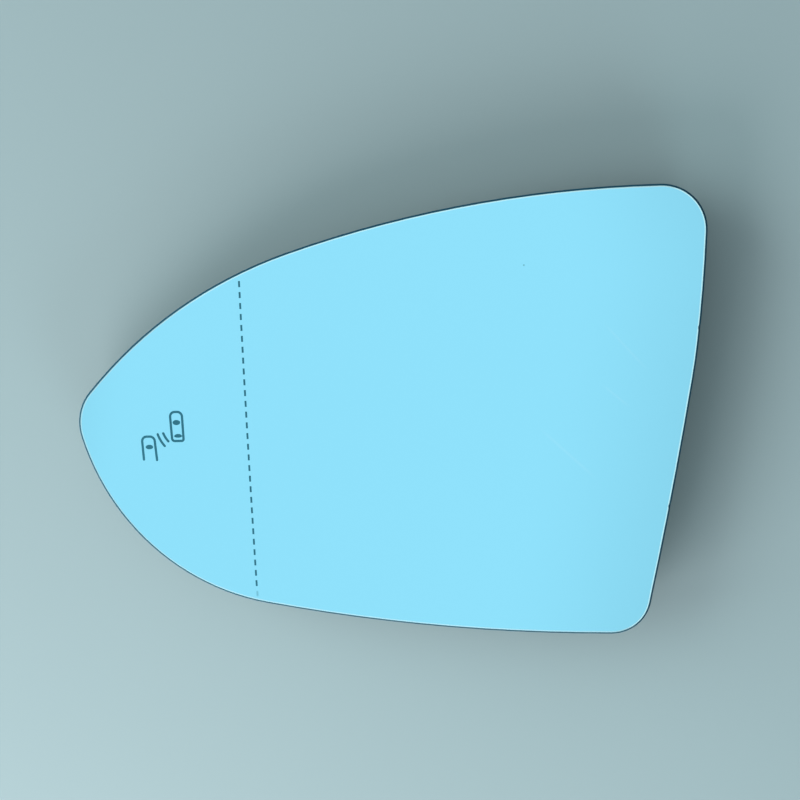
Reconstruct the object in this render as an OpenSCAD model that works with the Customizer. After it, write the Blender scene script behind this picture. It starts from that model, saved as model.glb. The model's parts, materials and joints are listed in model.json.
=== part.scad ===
// Heated door mirror glass with a warning lamp, on its clip-on carrier.
// It lies face up: +Z leaves the reflecting face, +Y is up as fitted, +X points to the car.
// The origin is the middle of the clip ring's grip, where the holder of the adjuster sits.

/* [Outline corners] */
// Outer tip, across from the clip ring's axis
tip_x = -104.7; // [-109:0.1:-100]
// Outer tip, above the axis
tip_y = 3.4; // [0:0.1:7]
// Shoulder between tip and top, across
shoulder_x = -59.9; // [-64:0.1:-56]
// Shoulder between tip and top, above the axis
shoulder_y = 40.5; // [38.5:0.1:42.5]
// Top corner beside the car, across
top_corner_x = 82.2; // [76:0.1:90]
// Top corner beside the car, above the axis
top_corner_y = 62.5; // [58:0.1:68]
// Bottom corner beside the car, across
bottom_corner_x = 61.3; // [56:0.1:66]
// Bottom corner beside the car, above the axis
bottom_corner_y = -66.7; // [-72:0.1:-62]
// Heel between bottom and tip, across
heel_x = -73.3; // [-77:0.1:-69]
// Heel between bottom and tip, above the axis
heel_y = -49.8; // [-53:0.1:-47]
// Bend of the side next to the car, down from the top corner
bend_down = 50; // [40:0.5:64]
// How far the bend stands out from the straight line between that side's corners
bend_out = 3.5; // [3:0.1:5]

/* [Outline roundings] */
// Rounding of the tip
tip_fillet = 14.3; // [10:0.1:24]
// Rounding of the shoulder
shoulder_fillet = 138; // [80:0.5:138]
// Rounding of the top corner
top_corner_fillet = 12.9; // [8:0.1:20]
// Rounding of the bend
bend_fillet = 200; // [100:5:350]
// Rounding of the bottom corner
bottom_corner_fillet = 11.5; // [8:0.1:20]
// Rounding of the heel
heel_fillet = 69.5; // [40:0.5:70]

/* [Outline sides] */
// Radius of the side from tip to shoulder
tip_side_r = 173; // [150:0.5:240]
// Radius of the top side
top_side_r = 345; // [300:1:420]
// Radius of the side next to the car, above its bend
upper_inner_r = 450; // [420:10:900]
// Radius of the side next to the car, under its bend
lower_inner_r = 1700; // [1300:50:3000]
// Radius of the bottom side
bottom_side_r = 610; // [450:5:800]
// Radius of the side from heel to tip
heel_side_r = 87.5; // [82:0.5:130]

/* [Curved stack] */
// Height of the glass above the foot of the clip ring, on the ring's axis
overall_h = 22; // [20:0.5:26]
// Radius of the mirror's main field
main_r = 1260; // [1000:10:2000]
// Radius of the outer zone, left of the dashed line
zone_r = 500; // [400:10:800]
// Start of the outer zone, across, at the outer edge of the dashed line
zone_x = -52.2; // [-56:0.05:-48]
// Thickness of the glass
glass_t = 2; // [1.6:0.1:2.4]
// Width and depth of the ground edge round the front
ground_edge = 0.5; // [0.2:0.05:0.6]
// Width of the polished arris inside the ground edge
arris_w = 0.35; // [0.2:0.05:0.6]
// How far the arris falls towards the ground edge
arris_drop = 0.12; // [0.08:0.01:0.2]
// Thickness of the heater's conductor
track_t = 0.1; // [0.05:0.05:0.2]
// Thickness of the heater's film
film_t = 0.2; // [0.15:0.05:0.4]
// Thickness of the foam bond
bond_t = 0.7; // [0.5:0.1:1.2]
// Adhesive between the glass and the heater, and between the pad and the carrier
layer_gap = 0.1; // [0.05:0.01:0.15]
// Thickness of the carrier's plate
plate_t = 1.8; // [1.5:0.1:2.5]

/* [Dashed line] */
// Distance from one dash to the next
dash_pitch = 3.16; // [2.6:0.02:4]
// Length of a dash
dash_l = 1.75; // [1:0.05:2.2]
// Width of a dash
dash_w = 0.55; // [0.3:0.05:0.8]
// Thickness of the dash's enamel
dash_t = 0.05; // [0.04:0.01:0.1]
// Upper end of the first dash, above the axis
dash_top = 40.5; // [36:0.1:41]

/* [Nicks] */
// Height of the upper nick in the edge beside the car
nick_upper_y = 22.2; // [-60:0.1:55]
// Height of the lower nick in the edge beside the car
nick_lower_y = -29; // [-60:0.1:55]
// Roundness of a nick
nick_r = 1.6; // [1:0.1:2]
// How far a nick reaches in from the edge
nick_reach = 0.6; // [0.3:0.05:0.9]

/* [Carrier edge] */
// Step of the carrier's plate inside the glass edge
plate_inset = 0.7; // [0.5:0.1:1.5]
// Wall of the skirt under the plate
skirt_t = 1.4; // [1:0.1:2]
// Step of the skirt inside the glass edge
skirt_inset = 1.5; // [1:0.1:2.5]
// Depth of the skirt under the plate
skirt_h = 4; // [3:0.1:6]

/* [Ribs] */
// Thickness of the ribs
rib_t = 1.2; // [0.8:0.1:1.8]
// Depth of the ribs under the plate
rib_h = 3.2; // [2:0.1:5]
// Number of radial ribs
rib_count = 12; // [6:1:16]
// Radius of the round rib
round_rib_r = 44; // [41:0.5:46]

/* [Clip ring] */
// Outer radius of the ring wall
ring_r = 36; // [35:0.5:39]
// Wall of the ring
ring_t = 2; // [1.4:0.1:2.5]
// Number of snap fingers
finger_count = 8; // [4:1:10]
// Width of a finger round the ring
finger_angle = 24; // [16:1:30]
// Thickness of a finger
finger_t = 1.8; // [1.4:0.1:2]
// Radius that the noses grip
grip_r = 28; // [26:0.25:28.5]
// Reach of a nose inside its finger
nose_reach = 1.6; // [1.2:0.1:1.8]
// Length of the nose's gripping land
land_l = 2.6; // [2:0.1:4]
// Lead-in at the end of a nose
lead_in = 1.2; // [0.8:0.1:1.4]
// Finger ends short of the ring's foot by
finger_short = 1.2; // [0.6:0.1:2]
// Radius of the hole through the plate in the middle
centre_hole_r = 9.5; // [6:0.5:12]
// Wall of the collar round that hole
collar_t = 1.4; // [1:0.1:2]
// Depth of the collar under the plate
collar_h = 3.4; // [2:0.1:5]

/* [Retaining spring] */
// Radius of the spring's wire
wire_r = 0.7; // [0.5:0.05:0.8]
// Gap of the open spring
wire_gap_angle = 14; // [12:1:16]
// Length of each release tail
tail_l = 6; // [5:0.5:8]
// Height of the spring's seat above the ring's foot
spring_seat_h = 6.6; // [6:0.1:8]
// Reach of the ledge that holds the spring
ledge_reach = 1; // [0.6:0.1:1.2]

/* [Heater] */
// Conductors stay inside the glass edge by
track_inset = 4.5; // [3.5:0.5:8]
// Width of the two collecting tracks
bus_w = 3; // [2:0.5:5]
// Width of a comb's tooth
tooth_w = 1.6; // [1:0.1:2.4]
// Distance from one tooth to the next
tooth_pitch = 5; // [4:0.25:8]
// Gap between a tooth's end and the other comb
comb_gap = 2; // [1.5:0.25:4]
// Track round a rivet's head
pad_margin = 0.5; // [0.3:0.1:1]
// Room between the lamp's window and the first tooth
lamp_clear = 3; // [2:0.5:6]
// Film stays inside the glass edge by
film_inset = 2.6; // [2:0.1:3]
// Foam stays inside the glass edge by
bond_inset = 1.6; // [1:0.1:2]

/* [Terminals] */
// Place of both terminals, across
terminal_x = 53; // [50:0.5:56]
// Each terminal above or below the axis
terminal_y = 14; // [12:0.5:16]
// Thickness of the terminal's sheet
sheet_t = 0.8; // [0.6:0.1:1]
// Width of a terminal
blade_w = 6.3; // [4.8:0.1:6.5]
// Length of a blade
blade_l = 8; // [6:0.5:9]
// Radius of the hole in a blade
blade_hole_r = 0.8; // [0.5:0.1:1]
// Length of a terminal's foot
foot_l = 8.4; // [8:0.1:10]
// Radius of the terminal's seat under the plate
seat_r = 5.4; // [5:0.1:6]
// Height of the seat under the plate's lowest place above it
seat_h = 0.6; // [0.4:0.1:1]
// Radius of a rivet
rivet_r = 1.5; // [1.2:0.1:1.8]
// Radius of the hole through a rivet
rivet_bore_r = 0.8; // [0.5:0.1:1]
// Radius of a rivet's heads
rivet_head_r = 2.7; // [2.3:0.1:3]
// Thickness of a rivet's head under the terminal
rivet_head_t = 0.5; // [0.4:0.1:0.8]

/* [Warning lamp] */
// Middle of the lamp, across
lamp_x = -77.5; // [-79:0.1:-76]
// Middle of the lamp, above the axis
lamp_y = -4; // [-8:0.5:2]
// Inner width of the lamp's well
well_w = 22; // [20:0.5:24]
// Inner height of the lamp's well
well_h = 19; // [18:0.5:21]
// Wall of the well
well_t = 1.4; // [1.2:0.1:1.8]
// Width of the window behind the symbol
window_w = 17; // [16:0.5:18]
// Height of the window behind the symbol
window_h = 16; // [14:0.5:17]
// Thickness of the diffuser's flange
flange_t = 1.4; // [1:0.1:2]
// Thickness of the foam gasket between diffuser and glass
gasket_t = 0.8; // [0.5:0.1:1.2]
// Width of the gasket's frame
gasket_w = 1.5; // [1:0.1:2]
// Height of the reflector
reflector_h = 2.6; // [2.4:0.1:3.5]
// Thickness of the circuit board
board_t = 1; // [0.8:0.1:1.6]
// Room for the parts under the board
board_room = 1.4; // [1:0.1:2]
// Thickness of the lamp's cover
cover_t = 1.4; // [1.2:0.1:2]
// Play between the lamp's parts and its well
lamp_fit = 0.2; // [0.1:0.05:0.3]

/* [Lamp parts] */
// Number of LEDs
led_count = 3; // [2:1:3]
// Width of an LED
led_w = 2.8; // [2:0.1:3]
// Height of an LED
led_h = 1.6; // [1:0.1:1.9]
// Distance from one LED to the next
led_pitch = 5.8; // [5.6:0.1:6.4]
// Length of a resistor
resistor_l = 2; // [1.6:0.1:3.2]
// Width of a resistor
resistor_w = 1.25; // [0.8:0.05:1.6]
// Height of a resistor
resistor_h = 0.5; // [0.4:0.05:0.8]
// Width of a contact pin
pin_w = 0.64; // [0.5:0.02:0.8]
// Distance between the contact pins
pin_pitch = 2.54; // [2:0.02:3]
// Pins end inside the socket's mouth by
pin_short = 1; // [0.5:0.1:2]
// Inner width of the plug's socket
socket_w = 8.4; // [8:0.1:10]
// Inner height of the plug's socket
socket_h = 5; // [4.5:0.1:6]
// Wall of the socket
socket_t = 1; // [0.8:0.1:1.4]
// Depth of the socket under the cover
socket_depth = 4.2; // [3.5:0.1:5]
// Width of the catch for the plug's latch
catch_w = 3; // [2:0.1:5]
// Reach of the catch beside the socket
catch_reach = 0.8; // [0.5:0.1:1.2]
// Length of the catch's ramp
catch_l = 2; // [1.5:0.1:2.5]
// Radius of the screws' bosses
boss_r = 2.6; // [2.4:0.1:3]
// Radius of a screw's shank
screw_r = 1; // [0.8:0.05:1.1]
// Length of a screw's shank
screw_l = 6; // [5:0.5:7]
// Radius of a screw's head
screw_head_r = 2.1; // [1.8:0.1:2.3]
// Height of a screw's head
screw_head_h = 1.2; // [1:0.1:1.5]

/* [Hidden] */

// Fineness of true rounds, and the most that the outline's chords leave its arcs
$fn = 96;
fine_fn = 256;
outline_tol = 0.02;
// Overlap of solids that are cut from or grown into each other
bite = 0.5;
// Running gap of a hole round its pin, screw or rivet
hole_gap = 0.1;

// Heights of the ring's foot, the fingers' ends, the spring's seat and the top of the glass
ring_foot = -finger_short - lead_in - land_l / 2;
finger_foot = ring_foot + finger_short;
spring_seat_z = ring_foot + spring_seat_h;
front_top = ring_foot + overall_h;

// Size of the block that the stack is turned from, and levels clear below and above everything
stack_reach = 130;
stack_span = 90;
stack_depth = 60;
cut_foot = front_top - stack_depth;
cut_top = front_top + 2 * bite;

// Depths under the mirror's front, measured square to it
track_d = glass_t + layer_gap;
film_d = track_d + track_t;
bond_d = film_d + film_t;
bond_foot_d = bond_d + bond_t;
plate_d = bond_foot_d + layer_gap;
under_d = plate_d + plate_t;
root_d = plate_d + plate_t / 2;

top_corner = [top_corner_x, top_corner_y];
bottom_corner = [bottom_corner_x, bottom_corner_y];
inner_way = (bottom_corner - top_corner) / norm(bottom_corner - top_corner);
bend = top_corner + bend_down * inner_way + bend_out * [-inner_way.y, inner_way.x];
corners = [[tip_x, tip_y], [shoulder_x, shoulder_y], top_corner, bend, bottom_corner,
           [heel_x, heel_y]];
sides = [tip_side_r, top_side_r, upper_inner_r, lower_inner_r, bottom_side_r, heel_side_r];
corner_count = len(corners);

// Corners and sides run clockwise and every side bulges outwards.
function next(i) = (i + 1) % corner_count;
function before(i) = (i + corner_count - 1) % corner_count;
function arc_centre(p, q, r) =
    let (way = q - p, l = norm(way))
    (p + q) / 2 + [way.y, -way.x] / l * sqrt(r * r - l * l / 4);
centres = [for (i = [0:corner_count - 1]) arc_centre(corners[i], corners[next(i)], sides[i])];

// A rounding's radius is at most this share of the radii of the two sides that it joins.
round_share = 0.8;
wanted = [tip_fillet, shoulder_fillet, top_corner_fillet, bend_fillet, bottom_corner_fillet,
          heel_fillet];
fillets = [for (i = [0:corner_count - 1])
    min(wanted[i], round_share * sides[i], round_share * sides[before(i)])];

// The point at distance a from p and b from q that is nearer to a third point
function meeting(p, a, q, b, near) =
    let (way = q - p, l = norm(way), u = way / l, v = [-u.y, u.x],
         x = (a * a - b * b + l * l) / (2 * l), y = sqrt(max(a * a - x * x, 0)),
         left = p + u * x + v * y, right = p + u * x - v * y)
    norm(left - near) < norm(right - near) ? left : right;
fillet_centres = [for (i = [0:corner_count - 1])
    meeting(centres[before(i)], sides[before(i)] - fillets[i],
            centres[i], sides[i] - fillets[i], corners[i])];

function heading(way) = atan2(way.y, way.x);
function clockwise(from, to) = (from - to + 720) % 360;
function arc(centre, r, inset, from, to) =
    let (sweep = clockwise(from, to),
         steps = max(1, ceil(sweep * PI / 180 * sqrt(r / outline_tol / 8))))
    [for (k = [0:steps - 1])
        let (a = from - sweep * k / steps) centre + (r - inset) * [cos(a), sin(a)]];

// Corner points and side points of the outline, moved inwards by inset
function outline_points(inset) = [for (i = [0:corner_count - 1])
    each let (c = fillet_centres[i], b = before(i), n = next(i),
              start = heading(c - centres[b]), end = heading(c - centres[i]),
              far = heading(fillet_centres[n] - centres[i]))
         concat(arc(c, fillets[i], inset, start, end), arc(centres[i], sides[i], inset, end, far))];

module outline(inset) polygon(outline_points(inset));

// The front is turned about an axis along X through the main field's centre.
// In its section, across is the distance from that axis and up is the way to the tip.
zone_start = asin(-zone_x / main_r);
// The two fields cross at this small angle, so that their edge is sharp and clean
zone_break = 0.15;
zone_edge = main_r * [cos(zone_start), sin(zone_start)];
zone_lean = zone_start + zone_break;
zone_centre = zone_edge - zone_r * [cos(zone_lean), sin(zone_lean)];
// The fields cross a second time this far on, and the section changes circle between the two
zone_overlap = zone_break * PI / 180 * zone_r * main_r / (main_r - zone_r);
stack_half = asin(stack_span / (main_r - stack_depth));

module section(depth) difference() {
    circle(main_r - depth, $fn = fine_fn);
    difference() {
        translate([0, -zone_x - zone_overlap]) square([2 * main_r, main_r]);
        translate(zone_centre) circle(zone_r - depth, $fn = fine_fn);
    }
}

// Everything between two depths under the front
module shell(from, to) translate([0, 0, front_top - main_r]) rotate([0, -90, 0])
    rotate_extrude(angle = 2 * stack_half, start = -stack_half, $fn = fine_fn) difference() {
        intersection() {
            section(from);
            translate([main_r - stack_depth, -stack_reach]) square([2 * stack_depth, 2 * stack_reach]);
        }
        section(to);
    }

// Everything under a depth
module under(depth) shell(depth, stack_depth + bite);

// Height of the front at a point
function front_z(p) =
    let (out = -p.x, from_axis = out < -zone_x
            ? sqrt(main_r * main_r - out * out)
            : zone_centre.x + sqrt(zone_r * zone_r - pow(out - zone_centre.y, 2)))
    front_top - main_r + sqrt(from_axis * from_axis - p.y * p.y);

module prism(inset) translate([0, 0, -stack_depth]) linear_extrude(2 * stack_depth) outline(inset);

// A sheet of the stack, as wide as the glass less inset
module sheet(from, to, inset) intersection() {
    shell(from, to);
    prism(inset);
}

// The glass's blank, with its front edge leaning in where it is ground
module ground_blank() {
    rim = outline_points(0);
    ground = outline_points(ground_edge);
    inner = outline_points(ground_edge + 2 * arris_w);
    count = len(rim);
    rings = [for (p = rim) [p.x, p.y, cut_foot],
             for (p = rim) [p.x, p.y, front_z(p) - ground_edge - arris_drop],
             for (p = ground) [p.x, p.y, front_z(p) - arris_drop],
             for (p = inner) [p.x, p.y, front_z(p) + arris_drop],
             for (p = inner) [p.x, p.y, cut_top]];
    bands = [for (k = [0:3], i = [0:count - 1])
        let (j = (i + 1) % count, a = k * count)
        [a + i, a + j, a + j + count, a + i + count]];
    polyhedron(concat(rings), concat(bands, [[for (i = [count - 1:-1:0]) i]],
                                     [[for (i = [0:count - 1]) 4 * count + i]]));
}

// The outline's edge beside the car at a height
function edge_right(y, points) = max([for (i = [0:len(points) - 1])
    let (p = points[i], q = points[(i + 1) % len(points)])
    if ((p.y - y) * (q.y - y) <= 0 && p.y != q.y) p.x + (q.x - p.x) * (y - p.y) / (q.y - p.y)]);

module mirror_glass() color([0.56, 0.88, 0.98]) difference() {
    intersection() {
        shell(0, glass_t);
        ground_blank();
    }
    for (y = [nick_upper_y, nick_lower_y]) let (x = edge_right(y, outline_points(0)))
        translate([x + nick_r - nick_reach, y, front_z([x, y])]) sphere(r = nick_r);
}

module box_at(p, size, z0, z1) translate([p.x, p.y, z0])
    linear_extrude(z1 - z0) square(size, center = true);

module zone_line() color([0.16, 0.43, 0.53]) intersection() {
    shell(-dash_t, 0);
    translate([0, 0, -stack_depth]) linear_extrude(2 * stack_depth) intersection() {
        outline(ground_edge + arris_w);
        for (k = [0:dash_count - 1])
            translate([zone_x, dash_top - k * dash_pitch - dash_l]) square([dash_w, dash_l]);
    }
}

// The lowest point of the outline at a place across
function edge_low(x, points) = min([for (i = [0:len(points) - 1])
    let (p = points[i], q = points[(i + 1) % len(points)])
    if ((p.x - x) * (q.x - x) <= 0 && p.x != q.x) p.y + (q.y - p.y) * (x - p.x) / (q.x - p.x)]);
dash_count = floor((dash_top - edge_low(zone_x, outline_points(ground_edge))) / dash_pitch);

module layer_cut() translate([0, 0, -stack_depth]) linear_extrude(2 * stack_depth) children();

terminals = [[terminal_x, terminal_y], [terminal_x, -terminal_y]];
lamp = [lamp_x, lamp_y];
pad_r = rivet_head_r + pad_margin;
half_plane = 2 * stack_reach;

// The half of the glass on one side of the axis, less a strip beside it
module half(side, strip) translate([-half_plane / 2, side > 0 ? strip : -strip - half_plane])
    square(half_plane);

module tooth(x) translate([x - tooth_w / 2, -half_plane / 2]) square([tooth_w, half_plane]);

first_tooth = ceil((lamp_x + window_w / 2 + lamp_clear - terminal_x) / tooth_pitch);
last_tooth = floor((top_corner_x - track_inset - 2 * bus_w - comb_gap - terminal_x) / tooth_pitch);

// One comb: its collecting track, its teeth, and the pad over its terminal with the tooth to it
module comb(side) {
    intersection() {
        difference() {
            outline(track_inset);
            outline(track_inset + bus_w);
        }
        half(side, comb_gap / 2);
    }
    difference() {
        intersection() {
            outline(track_inset + bus_w / 2);
            for (k = [first_tooth:last_tooth])
                if (k != 0 && (k % 2 != 0) == (side > 0)) tooth(terminal_x + k * tooth_pitch);
        }
        difference() {
            half(-side, 0);
            outline(track_inset + bus_w + comb_gap);
        }
    }
    intersection() {
        outline(track_inset + bus_w / 2);
        translate([terminal_x, side * terminal_y]) polygon([
            [-pad_r, -side * pad_r], [pad_r, -side * pad_r], [pad_r, side * pad_r],
            [tooth_w / 2, side * pad_r], [tooth_w / 2, side * half_plane],
            [-tooth_w / 2, side * half_plane], [-tooth_w / 2, side * pad_r], [-pad_r, side * pad_r]
        ]);
    }
}

module heater_track() color([0.76, 0.48, 0.3]) intersection() {
    shell(track_d, film_d);
    layer_cut() {
        comb(1);
        comb(-1);
    }
}

module lamp_window(margin) translate(lamp)
    square([window_w + 2 * margin, window_h + 2 * margin], center = true);

module heater_film() color([0.85, 0.62, 0.2]) intersection() {
    shell(film_d, bond_d);
    layer_cut() difference() {
        outline(film_inset);
        lamp_window(hole_gap);
        for (p = terminals) translate(p) circle(rivet_head_r + hole_gap);
    }
}

module bond_pad() color([0.25, 0.25, 0.27]) intersection() {
    shell(bond_d, bond_foot_d);
    layer_cut() difference() {
        outline(bond_inset);
        lamp_window(hole_gap);
        for (p = terminals) translate(p) circle(rivet_head_r + hole_gap);
    }
}

// Heights of the lamp's parts, from the flat seat under the plate downwards
well_out = [well_w + 2 * well_t, well_h + 2 * well_t];
lamp_seat = front_z(lamp - well_out / 2) - under_d - well_t / 2;
reflector_top = lamp_seat - flange_t;
board_top = reflector_top - reflector_h;
board_foot = board_top - board_t;
well_foot = board_foot - board_room;
cover_foot = well_foot - cover_t;
lamp_room = [well_w - 2 * lamp_fit, well_h - 2 * lamp_fit];
boss_y = well_out.y / 2 + boss_r - well_t / 2;
bosses = [lamp + [0, boss_y], lamp - [0, boss_y]];
// The socket lies below the lamp's middle by this much, and the resistors above it
lamp_offset = well_h / 5;
socket_at = lamp - [0, lamp_offset];

// Heights of the terminals, from the flat seat under the plate downwards
seat_z = front_z([terminal_x + seat_r, terminal_y + seat_r]) - under_d - seat_h;
foot_z = seat_z - sheet_t;
// A rivet's upper head sits this deep in the plate
head_sink = 0.8;
// Place of the hole in a blade, as a share of the blade's length
blade_hole_at = 0.6;
head_z = front_z([terminal_x, terminal_y]) - plate_d - head_sink;
head_top = front_z([terminal_x + rivet_head_r, terminal_y]) - film_d - hole_gap;

finger_r = grip_r + nose_reach;
finger_out = finger_r + finger_t;
spring_r = finger_out + wire_r;

module finger(turn) rotate([0, 0, turn - finger_angle / 2])
    rotate_extrude(angle = finger_angle) polygon([
        [grip_r + lead_in / 2, finger_foot],
        [grip_r, -land_l / 2],
        [grip_r, land_l / 2],
        [finger_r, land_l / 2 + nose_reach],
        [finger_r, overall_h], [finger_out, overall_h],
        [finger_out, spring_seat_z], [finger_out + ledge_reach, spring_seat_z],
        [finger_out + ledge_reach, spring_seat_z - ledge_reach / 2],
        [finger_out, spring_seat_z - 2 * ledge_reach],
        [finger_out, finger_foot]
    ]);

finger_step = 360 / finger_count;
module at_fingers() for (k = [0:finger_count - 1]) rotate([0, 0, -90 + finger_step * (k + 0.5)])
    children();

module tube(r_out, r_in, z0, z1) translate([0, 0, z0]) difference() {
    cylinder(r = r_out, h = z1 - z0);
    translate([0, 0, -bite]) cylinder(r = r_in, h = z1 - z0 + 2 * bite);
}

// The ring wall with the notch that its spring's tails pass through
notch_h = spring_seat_h + 4 * wire_r;
module ring_wall() difference() {
    tube(ring_r, ring_r - ring_t, ring_foot, front_top);
    rotate([0, 0, -90 - wire_gap_angle]) rotate_extrude(angle = 2 * wire_gap_angle)
        translate([ring_r - 2 * ring_t, ring_foot - bite]) square([3 * ring_t, notch_h + bite]);
}

module rib_plan() intersection() {
    outline(skirt_inset + skirt_t / 2);
    union() {
        difference() {
            for (k = [0:rib_count - 1]) rotate(k * 360 / rib_count)
                translate([0, -rib_t / 2]) square([stack_reach, rib_t]);
            circle(ring_r - ring_t / 2);
        }
        difference() {
            circle(round_rib_r + rib_t / 2);
            circle(round_rib_r - rib_t / 2);
        }
    }
}

module carrier_solid() {
    sheet(plate_d, under_d, plate_inset);
    intersection() {
        shell(root_d, under_d + skirt_h);
        layer_cut() difference() {
            outline(skirt_inset);
            outline(skirt_inset + skirt_t);
        }
    }
    intersection() {
        shell(root_d, under_d + rib_h);
        layer_cut() rib_plan();
    }
    intersection() {
        under(root_d);
        union() {
            ring_wall();
            at_fingers() finger(0);
            tube(centre_hole_r + collar_t, centre_hole_r, front_top - under_d - collar_h, front_top);
            box_at(lamp, well_out, well_foot, cut_top);
            for (p = bosses) translate([p.x, p.y, well_foot]) cylinder(r = boss_r, h = overall_h);
            for (p = terminals) translate([p.x, p.y, seat_z]) cylinder(r = seat_r, h = overall_h);
        }
    }
}

module carrier() color([0.13, 0.13, 0.14]) difference() {
    carrier_solid();
    cylinder(r = centre_hole_r, h = stack_depth);
    box_at(lamp, [well_w, well_h], cut_foot, lamp_seat);
    box_at(lamp, [window_w, window_h], cut_foot, cut_top);
    for (p = bosses) translate([p.x, p.y, cover_foot])
        cylinder(r = screw_r + hole_gap, h = screw_l + bite);
    for (p = terminals) translate([p.x, p.y, 0]) {
        cylinder(r = rivet_r + hole_gap, h = 2 * overall_h);
        translate([0, 0, head_z]) cylinder(r = rivet_head_r + hole_gap, h = overall_h);
    }
    at_fingers() rotate([0, 0, -finger_angle / 2]) rotate_extrude(angle = finger_angle)
        translate([grip_r - bite, overall_h / 2]) square([nose_reach + bite, overall_h]);
}

module retaining_spring() color([0.75, 0.76, 0.78])
    translate([0, 0, spring_seat_z + wire_r]) {
        rotate([0, 0, -90 + wire_gap_angle / 2]) rotate_extrude(angle = 360 - wire_gap_angle)
            translate([spring_r, 0]) circle(wire_r, $fn = 10);
        for (side = [-1, 1]) rotate([0, 0, -90 + side * wire_gap_angle / 2])
            translate([spring_r - wire_r / 2, 0, 0]) rotate([0, 90, 0])
                cylinder(r = wire_r, h = tail_l, $fn = 10);
    }

// A blade terminal: a riveted foot with the blade turned down at its edge
module terminal(p) translate([p.x, p.y, 0]) difference() {
    union() {
        translate([-foot_l / 2, -blade_w / 2, foot_z]) cube([foot_l, blade_w, sheet_t]);
        translate([-foot_l / 2, 0, foot_z]) rotate([0, 90, 0]) linear_extrude(sheet_t) polygon([
            [-sheet_t / 2, -blade_w / 2], [blade_l - sheet_t, -blade_w / 2],
            [blade_l, sheet_t - blade_w / 2], [blade_l, blade_w / 2 - sheet_t],
            [blade_l - sheet_t, blade_w / 2], [-sheet_t / 2, blade_w / 2]
        ]);
    }
    translate([0, 0, foot_z - bite]) cylinder(r = rivet_r + hole_gap, h = sheet_t + 2 * bite);
    translate([-foot_l, 0, foot_z - blade_l * blade_hole_at]) rotate([0, 90, 0])
        cylinder(r = blade_hole_r, h = foot_l);
}

module supply_terminal() color([0.83, 0.72, 0.42]) terminal(terminals[0]);
module return_terminal() color([0.83, 0.72, 0.42]) terminal(terminals[1]);

// Hollow rivets, from under the terminal's foot up to the heater's pads
module terminal_rivets() color([0.72, 0.68, 0.6]) for (p = terminals)
    translate([p.x, p.y, foot_z - rivet_head_t]) difference() {
        union() {
            cylinder(r = rivet_head_r, h = rivet_head_t);
            cylinder(r = rivet_r, h = head_top - foot_z + rivet_head_t);
            translate([0, 0, head_z - foot_z + rivet_head_t])
                cylinder(r = rivet_head_r, h = head_top - head_z);
        }
        translate([0, 0, -bite]) cylinder(r = rivet_bore_r, h = head_z - foot_z + rivet_head_t + bite);
    }

// The glass slopes down to the tip, so the flat gasket lies along that slope.
half_window = [window_w / 2, 0];
lamp_tilt = atan((front_z(lamp + half_window) - front_z(lamp - half_window)) / window_w);
// The back of the glass bows away from a flat gasket by this much
lamp_bow = window_w * window_w / 8 / zone_r + window_h * window_h / 8 / main_r;
light_area = [window_w - 2 * lamp_fit, window_h - 2 * lamp_fit];

// A tilted slab between two depths under the back of the glass
module tilted_slab(from, to) translate([lamp_x, lamp_y, front_z(lamp) - glass_t - lamp_bow])
    rotate([0, -lamp_tilt, 0]) translate([-window_w, -window_h, -to])
        cube([2 * window_w, 2 * window_h, to - from]);

module lamp_gasket() color([0.2, 0.2, 0.22]) intersection() {
    tilted_slab(0, gasket_t);
    difference() {
        box_at(lamp, light_area, cut_foot, cut_top);
        box_at(lamp, light_area - 2 * [gasket_w, gasket_w], cut_foot - bite, cut_top + bite);
    }
}

module lamp_diffuser() color([0.93, 0.94, 0.9]) {
    box_at(lamp, lamp_room, reflector_top, lamp_seat);
    intersection() {
        tilted_slab(gasket_t, stack_depth);
        box_at(lamp, light_area, reflector_top, cut_top);
    }
}

function led_place(k) = lamp + [(k - (led_count - 1) / 2) * led_pitch, 0];

module lamp_reflector() color([0.9, 0.9, 0.88]) difference() {
    box_at(lamp, lamp_room, board_top, reflector_top);
    for (k = [0:led_count - 1]) let (p = led_place(k)) translate([p.x, p.y, board_top - bite])
        cylinder(r1 = led_w / sqrt(2) + lamp_fit, r2 = led_pitch / 2 - lamp_fit,
                 h = reflector_h + 2 * bite);
}

pin_places = [for (side = [-1, 1]) socket_at + [side * pin_pitch / 2, 0]];

module lamp_board() color([0.1, 0.4, 0.25]) difference() {
    box_at(lamp, lamp_room, board_foot, board_top);
    for (p = pin_places) translate([p.x, p.y, board_foot - bite])
        cylinder(r = pin_w, h = board_t + 2 * bite);
}

module lamp_leds() color([0.98, 0.85, 0.45]) for (k = [0:led_count - 1])
    box_at(led_place(k), [led_w, led_w], board_top, board_top + led_h);

resistor_places = [for (side = [-1, 1]) lamp + [side * led_pitch / 2, lamp_offset]];
module lamp_resistors() color([0.15, 0.15, 0.16]) for (p = resistor_places)
    box_at(p, [resistor_l, resistor_w], board_foot - resistor_h, board_foot);

pin_foot = cover_foot - socket_depth + pin_short;
module lamp_pins() color([0.85, 0.8, 0.6]) for (p = pin_places)
    box_at(p, [pin_w, pin_w], pin_foot, board_top);

socket_out = [socket_w + 2 * socket_t, socket_h + 2 * socket_t];

// The catch that a plug's latch snaps behind, with its ramp towards the socket's mouth
module plug_catch() translate([socket_at.x - catch_w / 2, socket_at.y - socket_out.y / 2,
                               cover_foot - socket_depth / 2])
    rotate([90, 0, 90]) linear_extrude(catch_w) polygon([
        [socket_t / 2, catch_l / 2], [-catch_reach, catch_l / 2],
        [0, -catch_l / 2], [socket_t / 2, -catch_l / 2]
    ]);

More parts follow.
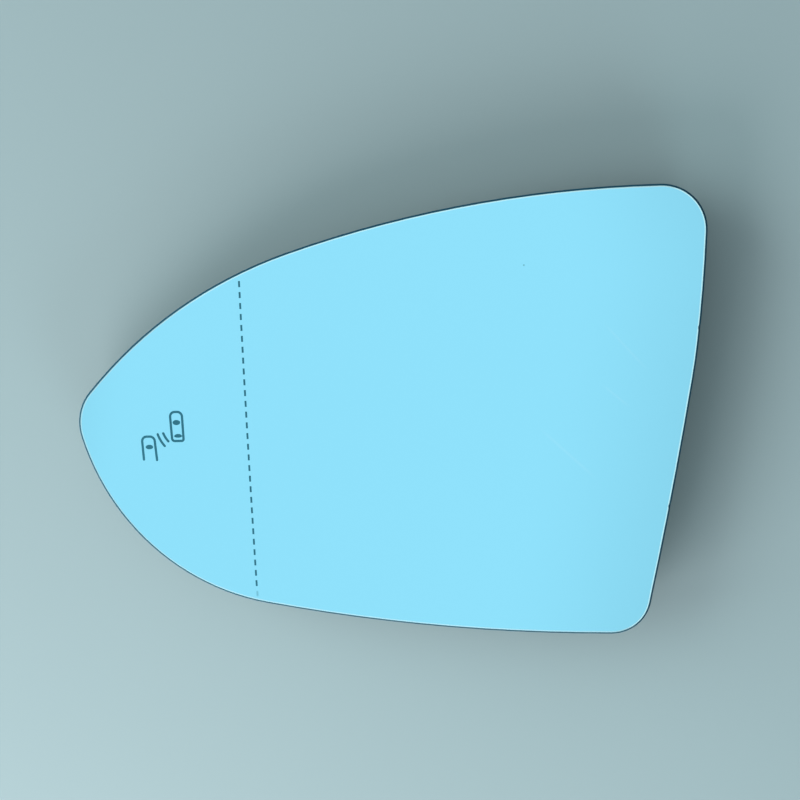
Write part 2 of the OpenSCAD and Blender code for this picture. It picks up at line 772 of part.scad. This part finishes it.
module lamp_cover() color([0.18, 0.18, 0.19]) difference() {
    union() {
        box_at(lamp, well_out, cover_foot, well_foot);
        for (p = bosses) translate([p.x, p.y, cover_foot]) cylinder(r = boss_r, h = cover_t);
        box_at(lamp, lamp_room, well_foot - bite, board_foot);
        box_at(socket_at, socket_out, cover_foot - socket_depth, cover_foot + bite);
        plug_catch();
    }
    box_at(lamp, lamp_room - 2 * [well_t, well_t], well_foot, board_foot + bite);
    box_at(socket_at, [socket_w, socket_h], cut_foot, cover_foot);
    for (p = pin_places) box_at(p, [pin_w, pin_w] + 2 * [hole_gap, hole_gap], cut_foot, cut_top);
    for (p = bosses) translate([p.x, p.y, cover_foot - bite])
        cylinder(r = screw_r + hole_gap, h = cover_t + 2 * bite);
}

module lamp_screws() color([0.6, 0.6, 0.62]) for (p = bosses) {
    translate([p.x, p.y, cover_foot - screw_head_h]) cylinder(r = screw_head_r, h = screw_head_h);
    translate([p.x, p.y, cover_foot - bite]) cylinder(r = screw_r, h = screw_l + bite);
}

mirror_glass();
zone_line();
heater_track();
heater_film();
bond_pad();
carrier();
retaining_spring();
supply_terminal();
return_terminal();
terminal_rivets();
lamp_gasket();
lamp_diffuser();
lamp_reflector();
lamp_board();
lamp_leds();
lamp_resistors();
lamp_pins();
lamp_cover();
lamp_screws();
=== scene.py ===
import json
import math

import bmesh
import bpy
from mathutils import Matrix, Vector


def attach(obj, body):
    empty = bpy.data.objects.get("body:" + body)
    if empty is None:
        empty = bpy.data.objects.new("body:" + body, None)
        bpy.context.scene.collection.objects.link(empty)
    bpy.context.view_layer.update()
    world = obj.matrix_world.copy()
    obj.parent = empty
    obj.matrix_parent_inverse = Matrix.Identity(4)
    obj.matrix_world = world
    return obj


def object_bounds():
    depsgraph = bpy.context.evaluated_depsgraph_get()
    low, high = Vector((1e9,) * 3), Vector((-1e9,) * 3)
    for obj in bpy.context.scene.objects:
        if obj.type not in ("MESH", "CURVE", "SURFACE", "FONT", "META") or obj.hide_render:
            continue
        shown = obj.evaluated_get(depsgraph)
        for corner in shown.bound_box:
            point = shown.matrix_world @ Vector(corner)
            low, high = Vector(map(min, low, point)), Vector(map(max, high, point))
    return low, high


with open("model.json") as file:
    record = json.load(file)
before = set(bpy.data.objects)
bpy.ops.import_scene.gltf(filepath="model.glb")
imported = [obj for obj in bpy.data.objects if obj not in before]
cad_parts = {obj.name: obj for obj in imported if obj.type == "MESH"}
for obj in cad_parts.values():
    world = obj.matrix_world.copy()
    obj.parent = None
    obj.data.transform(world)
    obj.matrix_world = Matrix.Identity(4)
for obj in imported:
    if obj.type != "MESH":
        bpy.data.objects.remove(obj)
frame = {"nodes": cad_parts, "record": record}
cad_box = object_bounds()
MM = 0.001

# The camera of the photograph, in the row frame, in millimetres and degrees
CAMERA_AT = Vector((35.31, 66.51, 461.95))
CAMERA_AIM = Vector((-6.77, 4.74, 18.3))
CAMERA_ROLL = -2.535
FRAME_PX = 800
FOCAL_PX = 1567.4
SENSOR = 36.0

# The mirror's front, as in the part's source
FRONT_TOP = 18.3
MAIN_R = 1260.0
ZONE_R = 500.0
ZONE_X = -52.2
ZONE_BREAK = 0.15
INK_RISE = 0.03
INK_SINK = 0.02

# Colours, linear
MIRROR_BLUE = (0.279, 0.758, 0.973)
WIPED_BLUE = (0.5, 0.85, 1.0)
SPECK_TEAL = (0.16, 0.5, 0.64)
# The arris's colour, lighter than the front's: a painted highlight along the glass's edge
ARRIS_HIGHLIGHT_BLUE = (0.52, 0.9, 1.0)
GROUND_GLASS = (0.012, 0.092, 0.15)
INK_TEAL = (0.028, 0.165, 0.235)
FLOOR_GREY = (0.40, 0.545, 0.58)
WHITE = (1, 1, 1)
# Metallic level of bare metal
METAL = 1.0
# Specular level of printed ink and ground glass
DULL = 0.12
# The middle of a noise's range, over which tone and gloss change
TONE_RANGE = (0.35, 0.65)
GLOSS_RANGE = (0.3, 0.7)

# Faint traces of a cloth (two ends and a width) and one speck (middle and radius), in
# millimetres on the front, and how much of their colour the cloth's traces show
WIPES = [((50.8, 25.9), (64.8, 9.7), 0.5), ((31.9, -3.8), (49.6, -21.0), 0.6),
         ((50.4, 7.7), (59.2, -0.1), 0.5)]
SPECK = ((29.9, 41.9), 0.35)
WIPE_SHOWS = 0.12
# The zone line's last dash is nearly worn off: two ends, a width and how much it shows
WORN_DASH = ((-51.87, -50.95), (-51.87, -53.15), 0.55)
WORN_SHOWS = 0.4
# The share of such a line's length that fades at each end, and of the speck's radius that is full
LINE_FADE = 0.3
SPECK_CORE = 0.4
# The faint haze: the scale of its noise, and the tone of its darker patches
HAZE_SCALE = 14.0
HAZE_TONE = 0.994
# The slope of a face tells the mirror's front from the arris, the ground edge and the sides,
# with a short blend at each change
FRONT_SLOPE = 0.98
FRONT_BLEND = 0.005
ARRIS_SLOPE = 0.89
ARRIS_BLEND = 0.02
# Each band reaches a little into the next one, over about this many millimetres
EDGE_BLEND = 0.35
# Roughness of the mirror where it is cleanest, how much haze adds, and of the ground edge
MIRROR_ROUGH = 0.04
HAZE_ROUGH = 0.04
GROUND_ROUGH = 0.5

# The board's side, and where the camera sees it start and end its fade, in metres
FLOOR_SIZE = 6.0
FLOOR_FADE = (0.3, 0.95)

# The world lights with a soft sky that is brighter on the left. What it shows in reflections
# and behind the object is white, a little dimmer to the right and near the left horizon.
# REFLECTED holds places from left (0) to right (1) and the level there.
SKY_TINT = (0.94, 0.98, 0.99)
SKY_LEVEL = 0.38
SKY_LEAN = -0.38
REFLECTED = ((0.18, 0.8), (0.28, 1.0), (0.54, 1.0), (0.7, 0.76), (0.74, 0.76), (0.8, 1.0))
# How far the far and near sides of the sky count as right
REFLECTED_SIDES = 0.25

# Round lamps that face the origin: place and width in metres, power in watts, colour
LAMPS = {
    "window": ((-1.08, 0.26, 0.542), 1.2, 9.4, (0.93, 1.0, 0.97)),
    "low_softbox": ((-0.386, -0.513, 0.265), 0.5, 3.6, (1.0, 0.9, 0.88)),
    "fill": ((0.3, -0.7, 0.3), 0.4, 1.6, (0.8, 0.98, 1.0)),
}


# Materials
def new_material(name):
    made = bpy.data.materials.new(name)
    made.use_nodes = True
    tree = made.node_tree
    tree.nodes.clear()
    out = tree.nodes.new("ShaderNodeOutputMaterial")
    shader = tree.nodes.new("ShaderNodeBsdfPrincipled")
    tree.links.new(shader.outputs["BSDF"], out.inputs["Surface"])
    return made, tree, shader


def noise(tree, scale, detail=3.0):
    place = tree.nodes.new("ShaderNodeTexCoord")
    made = tree.nodes.new("ShaderNodeTexNoise")
    made.inputs["Scale"].default_value = scale
    made.inputs["Detail"].default_value = detail
    tree.links.new(place.outputs["Object"], made.inputs["Vector"])
    return made.outputs["Fac"]


def two_tone(tree, fac, dark, light):
    ramp = tree.nodes.new("ShaderNodeValToRGB")
    first, last = ramp.color_ramp.elements
    first.position = TONE_RANGE[0]
    first.color = (*dark, 1)
    last.position = TONE_RANGE[1]
    last.color = (*light, 1)
    tree.links.new(fac, ramp.inputs["Fac"])
    return ramp.outputs["Color"]


def spread(tree, fac, low, high):
    made = tree.nodes.new("ShaderNodeMapRange")
    made.inputs["From Min"].default_value = GLOSS_RANGE[0]
    made.inputs["From Max"].default_value = GLOSS_RANGE[1]
    made.inputs["To Min"].default_value = low
    made.inputs["To Max"].default_value = high
    tree.links.new(fac, made.inputs["Value"])
    return made.outputs["Result"]


def bump(tree, shader, height, depth, strength):
    made = tree.nodes.new("ShaderNodeBump")
    made.inputs["Strength"].default_value = strength
    made.inputs["Distance"].default_value = depth
    tree.links.new(height, made.inputs["Height"])
    tree.links.new(made.outputs["Normal"], shader.inputs["Normal"])


def shade(colour, factor):
    return tuple(min(1.0, c * factor) for c in colour)


def surface(slot, colour, rough, metallic=0.0, vary=0.08, patch=60.0,
            grain=2500.0, grain_depth=0.00002, grain_strength=0.4, specular=0.5):
    """A material with faint patches of tone and gloss and a fine grain."""
    made, tree, shader = new_material(slot)
    patches = noise(tree, patch)
    tree.links.new(two_tone(tree, patches, shade(colour, 1 - vary), shade(colour, 1 + vary)),
                   shader.inputs["Base Color"])
    tree.links.new(spread(tree, patches, *rough), shader.inputs["Roughness"])
    shader.inputs["Metallic"].default_value = metallic
    shader.inputs["Specular IOR Level"].default_value = specular
    bump(tree, shader, noise(tree, grain, 2.0), grain_depth, grain_strength)
    return made


def math_node(tree, operation, a, b=0.0, c=0.0):
    made = tree.nodes.new("ShaderNodeMath")
    made.operation = operation
    for socket, value in zip(made.inputs, (a, b, c)):
        if isinstance(value, (int, float)):
            socket.default_value = value
        else:
            tree.links.new(value, socket)
    return made.outputs[0]


def distance(tree, a, b):
    """How far the place (a, b) lies from (0, 0)."""
    squares = (math_node(tree, "MULTIPLY", side, side) for side in (a, b))
    return math_node(tree, "SQRT", math_node(tree, "ADD", *squares))


def step(tree, value, low, high, start=0.0, end=1.0):
    """A smooth step from start, where value is below low, to end, where it is above high."""
    made = tree.nodes.new("ShaderNodeMapRange")
    made.interpolation_type = "SMOOTHSTEP"
    made.inputs["From Min"].default_value = low
    made.inputs["From Max"].default_value = high
    made.inputs["To Min"].default_value = start
    made.inputs["To Max"].default_value = end
    tree.links.new(value, made.inputs["Value"])
    return made.outputs["Result"]


def mix_colour(tree, fac, a, b):
    made = tree.nodes.new("ShaderNodeMix")
    made.data_type = "RGBA"
    tree.links.new(fac, made.inputs["Factor"])
    for socket, value in (("A", a), ("B", b)):
        target = next(i for i in made.inputs if i.name == socket and i.type == "RGBA")
        if isinstance(value, tuple):
            target.default_value = (*value, 1)
        else:
            tree.links.new(value, target)
    return next(o for o in made.outputs if o.type == "RGBA")


def object_xy(tree):
    """The two sockets of the place across and along the front, in metres."""
    place = tree.nodes.new("ShaderNodeTexCoord")
    parts = tree.nodes.new("ShaderNodeSeparateXYZ")
    tree.links.new(place.outputs["Object"], parts.inputs[0])
    return parts.outputs["X"], parts.outputs["Y"]


def streak(tree, x, y, start, end, width):
    """1 on a wiped line between two places in millimetres, fading to 0 at its sides and ends."""
    a, b = Vector(start) * MM, Vector(end) * MM
    length = (b - a).length
    way = (b - a) / length
    dx = math_node(tree, "SUBTRACT", x, a.x)
    dy = math_node(tree, "SUBTRACT", y, a.y)
    along = math_node(tree, "ADD", math_node(tree, "MULTIPLY", dx, way.x),
                      math_node(tree, "MULTIPLY", dy, way.y))
    across = math_node(tree, "ABSOLUTE", math_node(tree, "SUBTRACT",
                                                   math_node(tree, "MULTIPLY", dx, way.y),
                                                   math_node(tree, "MULTIPLY", dy, way.x)))
    side = step(tree, across, 0.0, width * MM, 1.0, 0.0)
    near = step(tree, along, 0.0, length * LINE_FADE)
    far = step(tree, along, length * (1 - LINE_FADE), length, 1.0, 0.0)
    return math_node(tree, "MULTIPLY", side, math_node(tree, "MULTIPLY", near, far))


def spot(tree, x, y, centre, radius):
    away = distance(tree, math_node(tree, "SUBTRACT", x, centre[0] * MM),
                    math_node(tree, "SUBTRACT", y, centre[1] * MM))
    return step(tree, away, radius * SPECK_CORE * MM, radius * MM, 1.0, 0.0)


def mirror_glass():
    """The coated front with its faint marks, the polished arris with a painted highlight, and the ground
    edge.
    """
    made, tree, shader = new_material("reflecting_face")
    x, y = object_xy(tree)
    haze = noise(tree, HAZE_SCALE)
    colour = two_tone(tree, haze, shade(MIRROR_BLUE, HAZE_TONE), MIRROR_BLUE)
    wiped = streak(tree, x, y, *WIPES[0])
    for wipe in WIPES[1:]:
        wiped = math_node(tree, "MAXIMUM", wiped, streak(tree, x, y, *wipe))
    wiped = math_node(tree, "MULTIPLY", wiped, WIPE_SHOWS)
    colour = mix_colour(tree, wiped, colour, WIPED_BLUE)
    colour = mix_colour(tree, spot(tree, x, y, *SPECK), colour, SPECK_TEAL)
    worn = math_node(tree, "MULTIPLY", streak(tree, x, y, *WORN_DASH), WORN_SHOWS)
    colour = mix_colour(tree, worn, colour, INK_TEAL)
    face = tree.nodes.new("ShaderNodeBevel")
    face.samples = 8
    face.inputs["Radius"].default_value = EDGE_BLEND * MM
    slope = tree.nodes.new("ShaderNodeSeparateXYZ")
    tree.links.new(face.outputs["Normal"], slope.inputs[0])
    off_front = step(tree, slope.outputs["Z"], FRONT_SLOPE - FRONT_BLEND, FRONT_SLOPE, 1.0, 0.0)
    ground = step(tree, slope.outputs["Z"], ARRIS_SLOPE - ARRIS_BLEND, ARRIS_SLOPE, 1.0, 0.0)
    # Painted highlight: the arris, and the front's edge where the bevel's blend reaches, are made lighter
    # than the front
    colour = mix_colour(tree, off_front, colour, ARRIS_HIGHLIGHT_BLUE)
    colour = mix_colour(tree, ground, colour, GROUND_GLASS)
    tree.links.new(colour, shader.inputs["Base Color"])
    tree.links.new(step(tree, ground, 0.0, 1.0, 1.0, 0.0), shader.inputs["Metallic"])
    rough = math_node(tree, "MAXIMUM", math_node(tree, "MULTIPLY_ADD", haze, HAZE_ROUGH, MIRROR_ROUGH),
                      math_node(tree, "MULTIPLY", ground, GROUND_ROUGH))
    tree.links.new(rough, shader.inputs["Roughness"])
    shader.inputs["Specular IOR Level"].default_value = DULL
    return made


# One material for each slot of the record, most with a colour and a range of roughness
MATERIALS = {
    "reflecting_face": mirror_glass(),
    "marking_ink": surface("marking_ink", INK_TEAL, (0.5, 0.6), vary=0.06, specular=DULL),
    "copper_track": surface("copper_track", (0.55, 0.24, 0.12), (0.3, 0.4), METAL),
    "amber_film": surface("amber_film", (0.55, 0.26, 0.04), (0.2, 0.3)),
    "black_foam": surface("black_foam", (0.012, 0.012, 0.013), (0.85, 0.95), vary=0.2,
                          grain=3000, grain_depth=0.0001),
    "black_moulding": surface("black_moulding", (0.012, 0.012, 0.0125), (0.45, 0.6), vary=0.1),
    "spring_wire": surface("spring_wire", (0.5, 0.5, 0.49), (0.22, 0.3), METAL),
    "tinned_brass": surface("tinned_brass", (0.66, 0.6, 0.46), (0.25, 0.4), METAL),
    "rivet_brass": surface("rivet_brass", (0.6, 0.42, 0.18), (0.25, 0.4), METAL),
    "gasket_foam": surface("gasket_foam", (0.015, 0.015, 0.015), (0.85, 0.95), vary=0.2),
    "milky_plastic": surface("milky_plastic", (0.8, 0.8, 0.77), (0.35, 0.45), vary=0.03),
    "white_plastic": surface("white_plastic", (0.82, 0.82, 0.8), (0.35, 0.45), vary=0.03),
    "board_green": surface("board_green", (0.01, 0.08, 0.03), (0.25, 0.35), vary=0.1),
    "led_resin": surface("led_resin", (0.8, 0.5, 0.12), (0.15, 0.25), vary=0.05),
    "resistor_black": surface("resistor_black", (0.015, 0.015, 0.015), (0.4, 0.5)),
    "pin_metal": surface("pin_metal", (0.66, 0.6, 0.48), (0.25, 0.35), METAL),
    "cover_plastic": surface("cover_plastic", (0.014, 0.014, 0.015), (0.4, 0.55), vary=0.1),
    "screw_steel": surface("screw_steel", (0.5, 0.5, 0.48), (0.3, 0.4), METAL),
}

for part in frame["record"]["subparts"]:
    node = frame["nodes"][part["node"]]
    for slot in node.material_slots:
        slot.material = MATERIALS[part["material_slot"]]


# The front's shape
def front_z(x, y):
    out = -x
    start = math.asin(-ZONE_X / MAIN_R)
    if out < -ZONE_X:
        from_axis = math.sqrt(MAIN_R**2 - out**2)
    else:
        lean = start + math.radians(ZONE_BREAK)
        up = MAIN_R * math.cos(start) - ZONE_R * math.cos(lean)
        across = MAIN_R * math.sin(start) - ZONE_R * math.sin(lean)
        from_axis = up + math.sqrt(ZONE_R**2 - (out - across) ** 2)
    return FRONT_TOP - MAIN_R + math.sqrt(from_axis**2 - y**2)


def on_front(x, y, rise):
    return Vector((x, y, front_z(x, y) + rise)) * MM


# The blind-spot symbol, two cars and two waves, with places in millimetres on the front.
# A car's corner has its place and radius, a wave its two ends and how far it bows out, and a
# window its middle, half its width and its reach up and down.
LINE_W = 0.7
CAR_AHEAD = [((-74.88, 2.94), 1.4), ((-71.24, 2.94), 1.4),
             ((-71.18, -5.68), 0.6), ((-74.65, -5.68), 0.8)]
CAR_BESIDE = [((-83.74, -11.1), 0), ((-83.95, -4.27), 1.4),
              ((-80.1, -4.27), 1.4), ((-79.71, -11.27), 0)]
WAVES = [((-79.0, -3.6), (-77.05, -7.12), 0.2), ((-77.27, -3.35), (-75.85, -5.75), 0.12)]
WINDOWS = [((-73.05, -0.2), 1.15, 0.75, 0.75), ((-72.79, -4.3), 1.2, 0.7, 0.4),
           ((-81.8, -7.4), 1.15, 0.7, 0.65)]
ARC_STEPS = 8
# Turns, in degrees, at which the round end of a line has a row of points
END_TURNS = (25, 50, 75)


def rounded_path(corners):
    """Points of a path whose corners are rounded with their radii. A radius of 0 keeps the point."""
    path = []
    count = len(corners)
    for i, (corner, radius) in enumerate(corners):
        here = Vector(corner)
        if radius == 0:
            path.append(here)
            continue
        back = (Vector(corners[i - 1][0]) - here).normalized()
        on = (Vector(corners[(i + 1) % count][0]) - here).normalized()
        half = back.angle(on) / 2
        start = here + back * radius / math.tan(half)
        end = here + on * radius / math.tan(half)
        centre = here + (back + on).normalized() * radius / math.sin(half)
        for k in range(ARC_STEPS + 1):
            chord = start.lerp(end, k / ARC_STEPS)
            path.append(centre + (chord - centre).normalized() * radius)
    return path


def bowed(start, end, sagitta):
    a, b = Vector(start), Vector(end)
    across = (b - a).normalized()
    side = Vector((across.y, -across.x))
    return [a.lerp(b, k / ARC_STEPS) + side * sagitta * (1 - (2 * k / ARC_STEPS - 1) ** 2)
            for k in range(ARC_STEPS + 1)]


def ink_layers(bm, rings):
    """The vertices of the ink's top, and those of its underside, a little inside the glass."""
    top = [[bm.verts.new(on_front(p.x, p.y, INK_RISE)) for p in ring] for ring in rings]
    low = [[bm.verts.new(on_front(p.x, p.y, -INK_SINK)) for p in ring] for ring in rings]
    return top, low


def ink_ribbon(bm, path, closed):
    count = len(path)
    rows = []
    for i, p in enumerate(path):
        before = path[i - 1] if closed or i else p
        after = path[(i + 1) % count] if closed or i < count - 1 else p
        way = (after - before).normalized()
        side = Vector((-way.y, way.x)) * LINE_W / 2
        rows.append((p + side, p - side))
    if not closed:
        rows = round_end(rows[0], path[0] - path[1], True) + rows
        rows += round_end(rows[-1], path[-1] - path[-2], False)
    top, low = ink_layers(bm, rows)
    pairs = range(len(rows)) if closed else range(len(rows) - 1)
    for i in pairs:
        j = (i + 1) % len(rows)
        bm.faces.new((top[i][0], top[i][1], top[j][1], top[j][0]))
        bm.faces.new((low[i][1], low[i][0], low[j][0], low[j][1]))
        bm.faces.new((top[i][0], top[j][0], low[j][0], low[i][0]))
        bm.faces.new((top[j][1], top[i][1], low[i][1], low[j][1]))
    if not closed:
        for i, turn in ((0, 1), (-1, -1)):
            ends = (top[i][0], low[i][0], low[i][1], top[i][1])
            bm.faces.new(ends[::turn])


def round_end(row, way, first):
    """Narrowing rows that round the end of a line."""
    way = way.normalized()
    middle = (row[0] + row[1]) / 2
    half = (row[0] - row[1]) / 2
    rows = []
    for turn in map(math.radians, END_TURNS):
        out = middle + way * LINE_W / 2 * math.sin(turn)
        rows.append((out + half * math.cos(turn), out - half * math.cos(turn)))
    return rows[::-1] if first else rows


def ink_blob(bm, centre, half_w, up, down):
    ring = []
    for k in range(4 * ARC_STEPS):
        turn = 2 * math.pi * k / (4 * ARC_STEPS)
        high = up if math.sin(turn) > 0 else down
        ring.append(Vector((centre[0] + half_w * math.cos(turn), centre[1] + high * math.sin(turn))))
    (top,), (low,) = ink_layers(bm, [ring])
    bm.faces.new(top)
    bm.faces.new(low[::-1])
    for i in range(len(ring)):
        j = (i + 1) % len(ring)
        bm.faces.new((top[j], top[i], low[i], low[j]))


def finish_mesh(name, bm, slot):
    bmesh.ops.recalc_face_normals(bm, faces=bm.faces)
    mesh = bpy.data.meshes.new(name)
    bm.to_mesh(mesh)
    bm.free()
    mesh.materials.append(MATERIALS[slot])
    made = bpy.data.objects.new(name, mesh)
    bpy.context.collection.objects.link(made)
    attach(made, "root")


symbol = bmesh.new()
ink_ribbon(symbol, rounded_path(CAR_AHEAD), True)
ink_ribbon(symbol, rounded_path(CAR_BESIDE), False)
for start, end, sagitta in WAVES:
    ink_ribbon(symbol, bowed(start, end, sagitta), False)
for window in WINDOWS:
    ink_blob(symbol, *window)
finish_mesh("blind_spot_symbol", symbol, "marking_ink")


# Floor, light, camera
def floor_board():
    """The board, which the camera sees fade into the white studio far from the object."""
    made = surface("floor_board", FLOOR_GREY, (0.55, 0.65), vary=0.01, patch=3.0,
                   grain=700.0, grain_strength=0.15, specular=0.02)
    tree = made.node_tree
    shader = next(node for node in tree.nodes if node.type == "BSDF_PRINCIPLED")
    out = next(node for node in tree.nodes if node.type == "OUTPUT_MATERIAL")
    away = distance(tree, *object_xy(tree))
    ray = tree.nodes.new("ShaderNodeLightPath")
    glow = tree.nodes.new("ShaderNodeEmission")
    fade = tree.nodes.new("ShaderNodeMixShader")
    faded = math_node(tree, "MULTIPLY", step(tree, away, *FLOOR_FADE), ray.outputs["Is Camera Ray"])
    tree.links.new(faded, fade.inputs["Fac"])
    glow.inputs["Color"].default_value = (*WHITE, 1)
    tree.links.new(shader.outputs["BSDF"], fade.inputs[1])
    tree.links.new(glow.outputs["Emission"], fade.inputs[2])
    tree.links.new(fade.outputs["Shader"], out.inputs["Surface"])
    return made


half, foot = FLOOR_SIZE / 2, cad_box[0][2]
board = bpy.data.meshes.new("floor")
board.from_pydata([(-half, -half, foot), (half, -half, foot), (half, half, foot), (-half, half, foot)],
                  [], [(0, 1, 2, 3)])
board.materials.append(floor_board())
floor = bpy.data.objects.new("floor", board)
bpy.context.collection.objects.link(floor)


def studio_sky(tree):
    tree.nodes.clear()
    ray = tree.nodes.new("ShaderNodeLightPath")
    place = tree.nodes.new("ShaderNodeTexCoord")
    way = tree.nodes.new("ShaderNodeSeparateXYZ")
    tree.links.new(place.outputs["Generated"], way.inputs[0])

    light = tree.nodes.new("ShaderNodeBackground")
    light.inputs["Color"].default_value = (*SKY_TINT, 1)
    tree.links.new(math_node(tree, "MULTIPLY_ADD", way.outputs["X"], SKY_LEAN, SKY_LEVEL),
                   light.inputs["Strength"])

    seen = tree.nodes.new("ShaderNodeBackground")
    seen.inputs["Color"].default_value = (*WHITE, 1)
    sides = math_node(tree, "ABSOLUTE", way.outputs["Y"])
    across = math_node(tree, "ADD", way.outputs["X"], math_node(tree, "MULTIPLY", sides, REFLECTED_SIDES))
    ramp = tree.nodes.new("ShaderNodeValToRGB")
    ramp.color_ramp.interpolation = "EASE"
    stops = ramp.color_ramp.elements
    for stop, (position, level) in ((stops[0], REFLECTED[0]), (stops[1], REFLECTED[-1])):
        stop.position = position
        stop.color = (level, level, level, 1)
    for position, level in REFLECTED[1:-1]:
        stops.new(position).color = (level, level, level, 1)
    tree.links.new(math_node(tree, "MULTIPLY_ADD", across, 0.5, 0.5), ramp.inputs["Fac"])
    tree.links.new(math_node(tree, "MAXIMUM", ramp.outputs["Color"], ray.outputs["Is Camera Ray"]),
                   seen.inputs["Strength"])

    shown = math_node(tree, "MAXIMUM", ray.outputs["Is Glossy Ray"], ray.outputs["Is Transmission Ray"])
    shown = math_node(tree, "MAXIMUM", ray.outputs["Is Camera Ray"], shown)
    mix = tree.nodes.new("ShaderNodeMixShader")
    out = tree.nodes.new("ShaderNodeOutputWorld")
    tree.links.new(shown, mix.inputs["Fac"])
    tree.links.new(light.outputs[0], mix.inputs[1])
    tree.links.new(seen.outputs[0], mix.inputs[2])
    tree.links.new(mix.outputs[0], out.inputs["Surface"])


world = bpy.data.worlds.new("studio")
bpy.context.scene.world = world
world.use_nodes = True
studio_sky(world.node_tree)

for name, (at, size, power, colour) in LAMPS.items():
    data = bpy.data.lights.new(name, "AREA")
    data.shape = "DISK"
    data.size = size
    data.energy = power
    data.color = colour
    lamp = bpy.data.objects.new(name, data)
    lamp.location = at
    lamp.rotation_euler = (-Vector(at)).to_track_quat("-Z", "Y").to_euler()
    lamp.visible_glossy = False
    bpy.context.collection.objects.link(lamp)

lens = bpy.data.cameras.new("camera")
lens.sensor_width = SENSOR
lens.lens = FOCAL_PX / FRAME_PX * SENSOR
lens.clip_start = 0.01
eye = bpy.data.objects.new("camera", lens)
bpy.context.collection.objects.link(eye)
forward = (CAMERA_AIM - CAMERA_AT).normalized()
level = forward.cross(Vector((0, 1, 0))).normalized()
upright = level.cross(forward)
roll = math.radians(CAMERA_ROLL)
right = level * math.cos(roll) + upright * math.sin(roll)
up = upright * math.cos(roll) - level * math.sin(roll)
eye.matrix_world = Matrix.Translation(CAMERA_AT * MM) @ Matrix(
    (right, up, -forward)).transposed().to_4x4()
bpy.context.scene.camera = eye
bpy.context.scene.view_settings.view_transform = "Standard"
